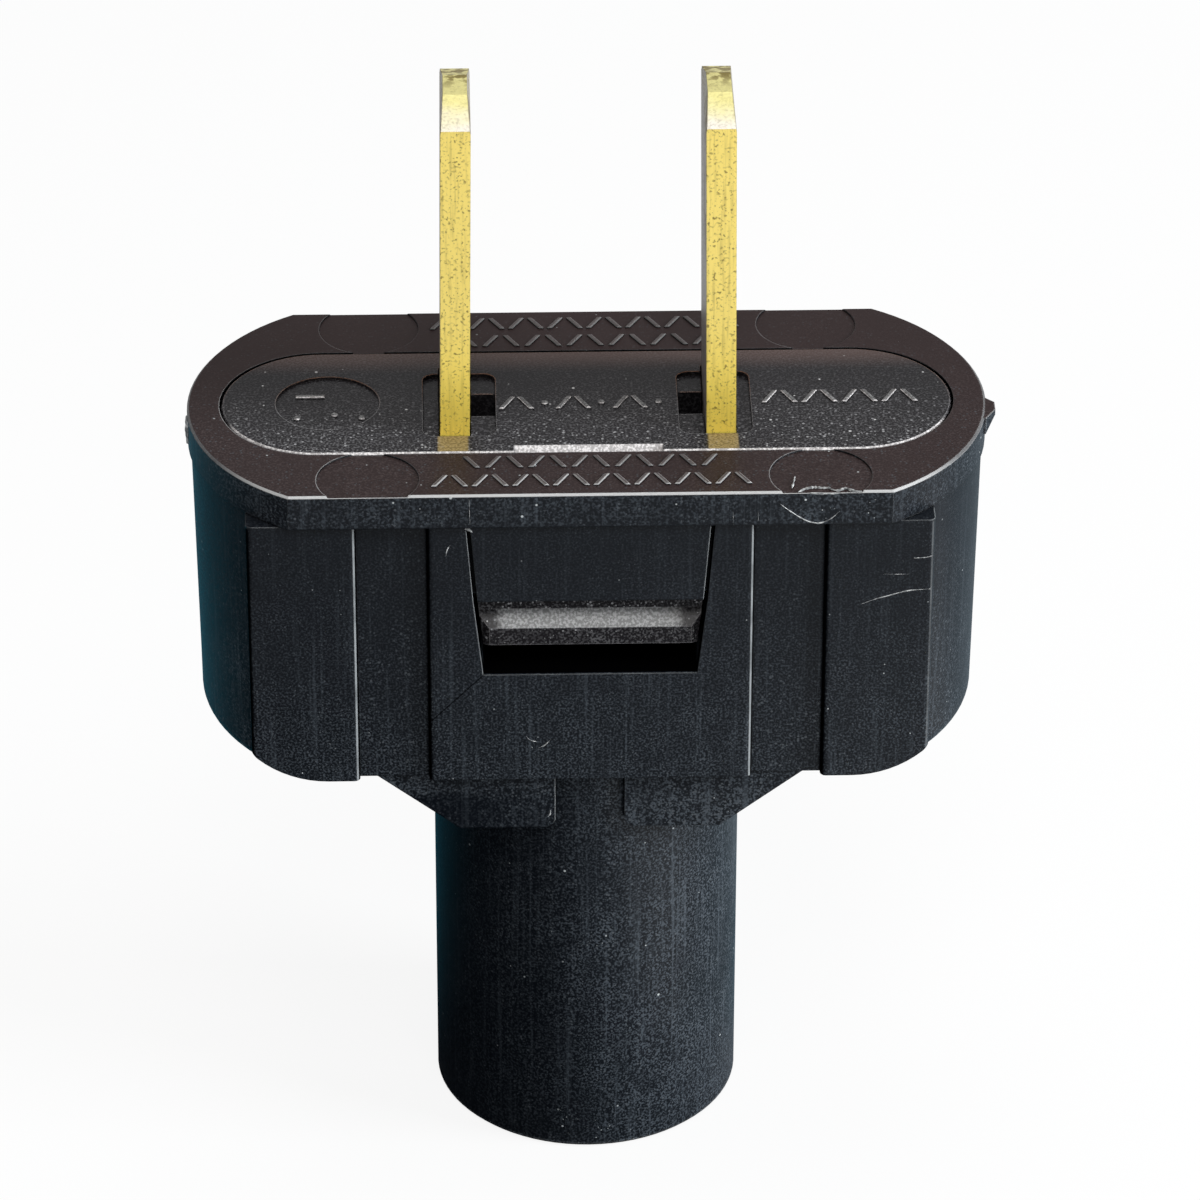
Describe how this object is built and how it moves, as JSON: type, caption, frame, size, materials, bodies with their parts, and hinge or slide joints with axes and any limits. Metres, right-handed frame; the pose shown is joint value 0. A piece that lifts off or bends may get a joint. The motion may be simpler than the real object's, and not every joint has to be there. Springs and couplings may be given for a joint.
{
  "type": "type a plug",
  "caption": "Black snap-together two-blade mains plug: one-piece housing with a round cord neck, and a grey blade carrier held by latches that show in windows.",
  "frame": {"origin": "centre of the neck's flat end, in the plane that the plug stands on", "axes": "+Z along the blades, from the neck to the tips; +X along the line through both blades; -Y is the front shown in the picture"},
  "size_m": [0.0388, 0.0174, 0.0562],
  "materials": {
    "shell_plastic": "moulded black plastic, satin, lightly scuffed",
    "carrier_plastic": "moulded dark grey plastic, fine speckle",
    "blade_brass": "stamped brass, bright with dark specks",
    "screw_brass": "turned brass"
  },
  "bodies": {
    "root": {"shell": "shell_plastic", "carrier": "carrier_plastic", "left_blade": "blade_brass", "right_blade": "blade_brass", "left_terminal_screw": "screw_brass", "right_terminal_screw": "screw_brass"}
  },
  "joints": []
}
